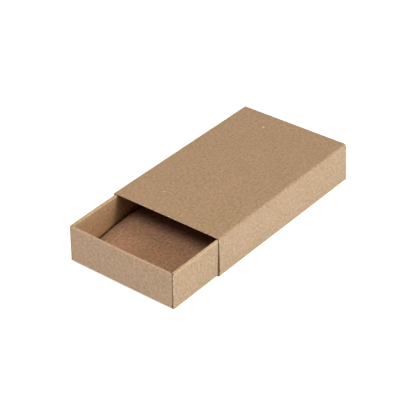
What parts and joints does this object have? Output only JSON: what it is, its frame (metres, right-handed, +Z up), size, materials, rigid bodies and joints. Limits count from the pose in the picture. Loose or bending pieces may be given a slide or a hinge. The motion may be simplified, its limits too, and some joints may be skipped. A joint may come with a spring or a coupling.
{
  "type": "sliding drawer gift box",
  "caption": "Small kraft-board slide box: a double-walled tray slides in an open-ended rectangular sleeve and stands part way out.",
  "frame": {"origin": "centre of the sleeve's underside, on the surface that the box stands on", "axes": "+Y along the sleeve from the open drawer to the rear, +X to the right as seen from the drawer's front, +Z up"},
  "size_m": [0.0654, 0.142, 0.0216],
  "materials": {
    "kraft_board": "matte"
  },
  "bodies": {
    "sleeve": {"sleeve_top_panel": "kraft_board", "sleeve_right_panel": "kraft_board", "sleeve_bottom_panel": "kraft_board", "sleeve_left_panel": "kraft_board", "sleeve_glue_flap": "kraft_board"},
    "tray": {"tray_base_panel": "kraft_board", "tray_left_outer_wall": "kraft_board", "tray_left_rim": "kraft_board", "tray_left_inner_wall": "kraft_board", "tray_right_outer_wall": "kraft_board", "tray_right_rim": "kraft_board", "tray_right_inner_wall": "kraft_board", "tray_front_outer_wall": "kraft_board", "tray_front_rim": "kraft_board", "tray_front_inner_wall": "kraft_board", "tray_front_left_corner_tab": "kraft_board", "tray_front_right_corner_tab": "kraft_board", "tray_rear_outer_wall": "kraft_board", "tray_rear_rim": "kraft_board", "tray_rear_inner_wall": "kraft_board", "tray_rear_left_corner_tab": "kraft_board", "tray_rear_right_corner_tab": "kraft_board"},
    "front_floor_flap": {"tray_front_floor_flap": "kraft_board"},
    "rear_floor_flap": {"tray_rear_floor_flap": "kraft_board"}
  },
  "joints": [
    {"name": "tray_slide", "type": "slide", "parent": "sleeve", "child": "tray", "axis": [0, -1, 0], "range_m": [-0.034, 0.074]},
    {"name": "front_flap_crease", "type": "hinge", "parent": "tray", "child": "front_floor_flap", "pos_m": [0.00022, -0.08668, 0.00128], "axis": [1, 0, 0], "range_deg": [-6, 12], "stiffness_Nm_per_rad": 0.012, "springref_deg": 1.33},
    {"name": "rear_flap_crease", "type": "hinge", "parent": "tray", "child": "rear_floor_flap", "pos_m": [0.00022, 0.01868, 0.00128], "axis": [-1, 0, 0], "range_deg": [-6, 12], "stiffness_Nm_per_rad": 0.012, "springref_deg": 1.33}
  ]
}
